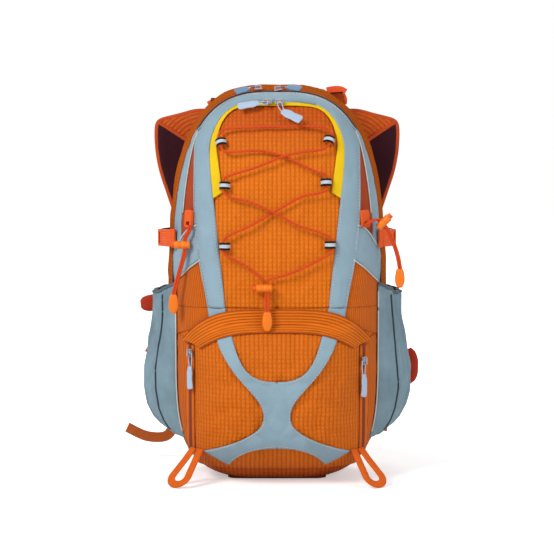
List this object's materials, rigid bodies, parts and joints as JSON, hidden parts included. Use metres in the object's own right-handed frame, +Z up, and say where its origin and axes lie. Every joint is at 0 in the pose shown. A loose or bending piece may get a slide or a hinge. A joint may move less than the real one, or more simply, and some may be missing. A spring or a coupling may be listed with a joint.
{
  "type": "hiking backpack",
  "caption": "Hiking day pack with a zipped clamshell front cover, lower front pocket, stretch side pockets, laced elastic cord, webbing loops and a padded harness.",
  "frame": {"origin": "centre of the flat base patch's underside, on the ground", "axes": "+Z up along the pack's height, +Y towards the wearer's back, front pockets towards -Y"},
  "size_m": [0.3876, 0.2562, 0.5127],
  "materials": {
    "ripstop_orange": "coated ripstop cloth",
    "ribbed_rust": "ribbed stretch cloth",
    "grey_cloth": "smooth coated cloth",
    "yellow_cloth": "smooth coated cloth",
    "webbing": "woven webbing",
    "black_webbing": "woven webbing",
    "strap_mesh": "spacer mesh",
    "cord": "braided elastic cord",
    "zip_coil": "nylon coil",
    "moulded_orange": "moulded",
    "zip_metal": "plated die casting",
    "pull_plastic": "moulded soft plastic"
  },
  "bodies": {
    "root": {"rear_shell": "ripstop_orange", "lower_front_panel": "ripstop_orange", "base_patch": "black_webbing", "back_pads": "strap_mesh", "main_zip_chain": "zip_coil", "lower_pocket": "ripstop_orange", "lower_flap": "ribbed_rust", "cross_applique": "grey_cloth", "lower_zip_chains": "zip_coil", "side_pocket_left": "grey_cloth", "side_pocket_right": "grey_cloth", "load_lifters": "webbing", "compression_webs": "webbing"},
    "front_cover": {"cover_shell": "ripstop_orange", "arch_band": "grey_cloth", "side_gussets": "grey_cloth", "yellow_zip_guard": "yellow_cloth", "pocket_zip_chain": "zip_coil", "lacing_loops": "black_webbing", "lacing_cord": "cord", "front_lock_barrel": "moulded_orange", "buckle_females": "moulded_orange", "pole_tabs": "moulded_orange"},
    "front_lock_button": {"front_lock_button": "moulded_orange"},
    "front_pull": {"front_pull_cord": "cord", "front_pull": "moulded_orange"},
    "haul_loop": {"haul_loop": "webbing"},
    "main_slider_left": {"main_slider_left": "zip_metal"},
    "main_pull_left": {"main_pull_left": "pull_plastic"},
    "pocket_slider_left": {"pocket_slider_left": "zip_metal"},
    "pocket_pull_left": {"pocket_pull_left": "pull_plastic"},
    "lower_slider_left": {"lower_slider_left": "zip_metal"},
    "lower_pull_left": {"lower_pull_left": "pull_plastic"},
    "buckle_male_left": {"buckle_male_left": "moulded_orange"},
    "pole_button_left": {"pole_button_left": "moulded_orange"},
    "gear_loop_left": {"gear_loop_left": "webbing"},
    "pole_loop_left": {"pole_cord_left": "cord", "pole_lock_left": "moulded_orange"},
    "shoulder_strap_left": {"shoulder_strap_left": "strap_mesh", "strap_webbing_left": "webbing"},
    "hip_wing_left": {"hip_wing_left": "strap_mesh", "hip_webbing_left": "webbing"},
    "main_slider_right": {"main_slider_right": "zip_metal"},
    "main_pull_right": {"main_pull_right": "pull_plastic"},
    "pocket_slider_right": {"pocket_slider_right": "zip_metal"},
    "pocket_pull_right": {"pocket_pull_right": "pull_plastic"},
    "lower_slider_right": {"lower_slider_right": "zip_metal"},
    "lower_pull_right": {"lower_pull_right": "pull_plastic"},
    "buckle_male_right": {"buckle_male_right": "moulded_orange"},
    "pole_button_right": {"pole_button_right": "moulded_orange"},
    "gear_loop_right": {"gear_loop_right": "webbing"},
    "pole_loop_right": {"pole_cord_right": "cord", "pole_lock_right": "moulded_orange"},
    "shoulder_strap_right": {"shoulder_strap_right": "strap_mesh", "strap_webbing_right": "webbing"},
    "hip_wing_right": {"hip_wing_right": "strap_mesh", "hip_webbing_right": "webbing"}
  },
  "joints": [
    {"name": "cover_open", "type": "hinge", "parent": "root", "child": "front_cover", "pos_m": [0, -0.103, 0.226], "axis": [1, 0, 0], "range_deg": [0, 30], "deforming": ["compression_webs"]},
    {"name": "main_zip_right", "type": "hinge", "parent": "root", "child": "main_slider_right", "pos_m": [0.019, 0.003, 0.402], "axis": [0, 1, 0], "range_deg": [0, 75]},
    {"name": "main_pull_right", "type": "hinge", "parent": "main_slider_right", "child": "main_pull_right", "pos_m": [0.00084, 0.003, 0.50501], "axis": [0, -1, 0], "range_deg": [0, 100]},
    {"name": "main_zip_left", "type": "hinge", "parent": "root", "child": "main_slider_left", "pos_m": [-0.019, 0.003, 0.402], "axis": [0, -1, 0], "range_deg": [0, 75]},
    {"name": "main_pull_left", "type": "hinge", "parent": "main_slider_left", "child": "main_pull_left", "pos_m": [-0.02447, 0.003, 0.50646], "axis": [0, 1, 0], "range_deg": [0, 100]},
    {"name": "pocket_zip_right", "type": "slide", "parent": "front_cover", "child": "pocket_slider_right", "axis": [0.999, -0.02, -0.04], "range_m": [0, 0.03]},
    {"name": "pocket_pull_right", "type": "hinge", "parent": "pocket_slider_right", "child": "pocket_pull_right", "pos_m": [0.003, -0.05704, 0.48687], "axis": [-0.8825, -0.3485, -0.3159], "range_deg": [0, 20]},
    {"name": "pocket_zip_left", "type": "slide", "parent": "front_cover", "child": "pocket_slider_left", "axis": [-0.999, -0.02, -0.04], "range_m": [0, 0.03]},
    {"name": "pocket_pull_left", "type": "hinge", "parent": "pocket_slider_left", "child": "pocket_pull_left", "pos_m": [-0.01204, -0.05697, 0.48687], "axis": [0.0151, 0.7405, 0.6719], "range_deg": [0, 100]},
    {"name": "lower_zip_right", "type": "slide", "parent": "root", "child": "lower_slider_right", "axis": [0, 0.0352, -0.9994], "range_m": [0, 0.061]},
    {"name": "lower_pull_right", "type": "hinge", "parent": "lower_slider_right", "child": "lower_pull_right", "pos_m": [0.11215, -0.07916, 0.15799], "axis": [-0.7407, -0.6718, 0], "range_deg": [0, 100]},
    {"name": "lower_zip_left", "type": "slide", "parent": "root", "child": "lower_slider_left", "axis": [0, 0.0308, -0.9995], "range_m": [0, 0.071]},
    {"name": "lower_pull_left", "type": "hinge", "parent": "lower_slider_left", "child": "lower_pull_left", "pos_m": [-0.11215, -0.0792, 0.16799], "axis": [-0.7411, 0.6714, 0], "range_deg": [0, 100]},
    {"name": "front_lock_press", "type": "slide", "parent": "front_cover", "child": "front_lock_button", "axis": [1, 0, 0], "range_m": [0, 0.003], "stiffness_N_per_m": 300},
    {"name": "front_pull_swing", "type": "hinge", "parent": "front_cover", "child": "front_pull", "pos_m": [-0.0122, -0.1035, 0.246], "axis": [1, 0, 0], "range_deg": [-30, 0]},
    {"name": "buckle_release_right", "type": "slide", "parent": "front_cover", "child": "buckle_male_right", "axis": [0.5878, 0.809, 0], "range_m": [0, 0.02]},
    {"name": "buckle_release_left", "type": "slide", "parent": "front_cover", "child": "buckle_male_left", "axis": [-0.5878, 0.809, 0], "range_m": [0, 0.02]},
    {"name": "pole_cord_swing_left", "type": "hinge", "parent": "front_cover", "child": "pole_loop_left", "pos_m": [-0.11, -0.081, 0.33], "axis": [-0.8, 0.6, 0], "range_deg": [0, 45]},
    {"name": "pole_cord_swing_right", "type": "hinge", "parent": "front_cover", "child": "pole_loop_right", "pos_m": [0.111, -0.082, 0.33], "axis": [-0.8, -0.6, 0], "range_deg": [0, 45]},
    {"name": "pole_lock_press_left", "type": "slide", "parent": "pole_loop_left", "child": "pole_button_left", "axis": [1, 0, 0], "range_m": [0, 0.003], "stiffness_N_per_m": 300},
    {"name": "pole_lock_press_right", "type": "slide", "parent": "pole_loop_right", "child": "pole_button_right", "axis": [-0.7071, 0, -0.7071], "range_m": [0, 0.003], "stiffness_N_per_m": 300},
    {"name": "gear_loop_lift_right", "type": "hinge", "parent": "root", "child": "gear_loop_right", "pos_m": [0.102, -0.074, 0.044], "axis": [-0.7771, -0.6293, 0], "range_deg": [0, 60]},
    {"name": "gear_loop_lift_left", "type": "hinge", "parent": "root", "child": "gear_loop_left", "pos_m": [-0.102, -0.074, 0.044], "axis": [-0.7771, 0.6293, 0], "range_deg": [0, 60]},
    {"name": "haul_loop_lift", "type": "hinge", "parent": "root", "child": "haul_loop", "pos_m": [0, 0.0915, 0.477], "axis": [1, 0, 0], "range_deg": [0, 110]},
    {"name": "shoulder_strap_swing_right", "type": "hinge", "parent": "root", "child": "shoulder_strap_right", "pos_m": [0.056, 0.092, 0.452], "axis": [-0.1917, 0.0038, 0.9814], "range_deg": [0, 60]},
    {"name": "hip_wing_fold_right", "type": "hinge", "parent": "root", "child": "hip_wing_right", "pos_m": [0.09, 0.099, 0.14], "axis": [0, 0, 1], "range_deg": [0, 85]},
    {"name": "shoulder_strap_swing_left", "type": "hinge", "parent": "root", "child": "shoulder_strap_left", "pos_m": [-0.056, 0.092, 0.452], "axis": [-0.1917, -0.0038, -0.9814], "range_deg": [0, 60]},
    {"name": "hip_wing_fold_left", "type": "hinge", "parent": "root", "child": "hip_wing_left", "pos_m": [-0.09, 0.099, 0.14], "axis": [0, 0, -1], "range_deg": [0, 85]}
  ],
  "couplings": [
    {"joint": "main_zip_right", "follows": "cover_open", "ratio": 2.5},
    {"joint": "main_zip_left", "follows": "cover_open", "ratio": 2.5},
    {"joint": "front_pull_swing", "follows": "cover_open", "ratio": -1}
  ]
}
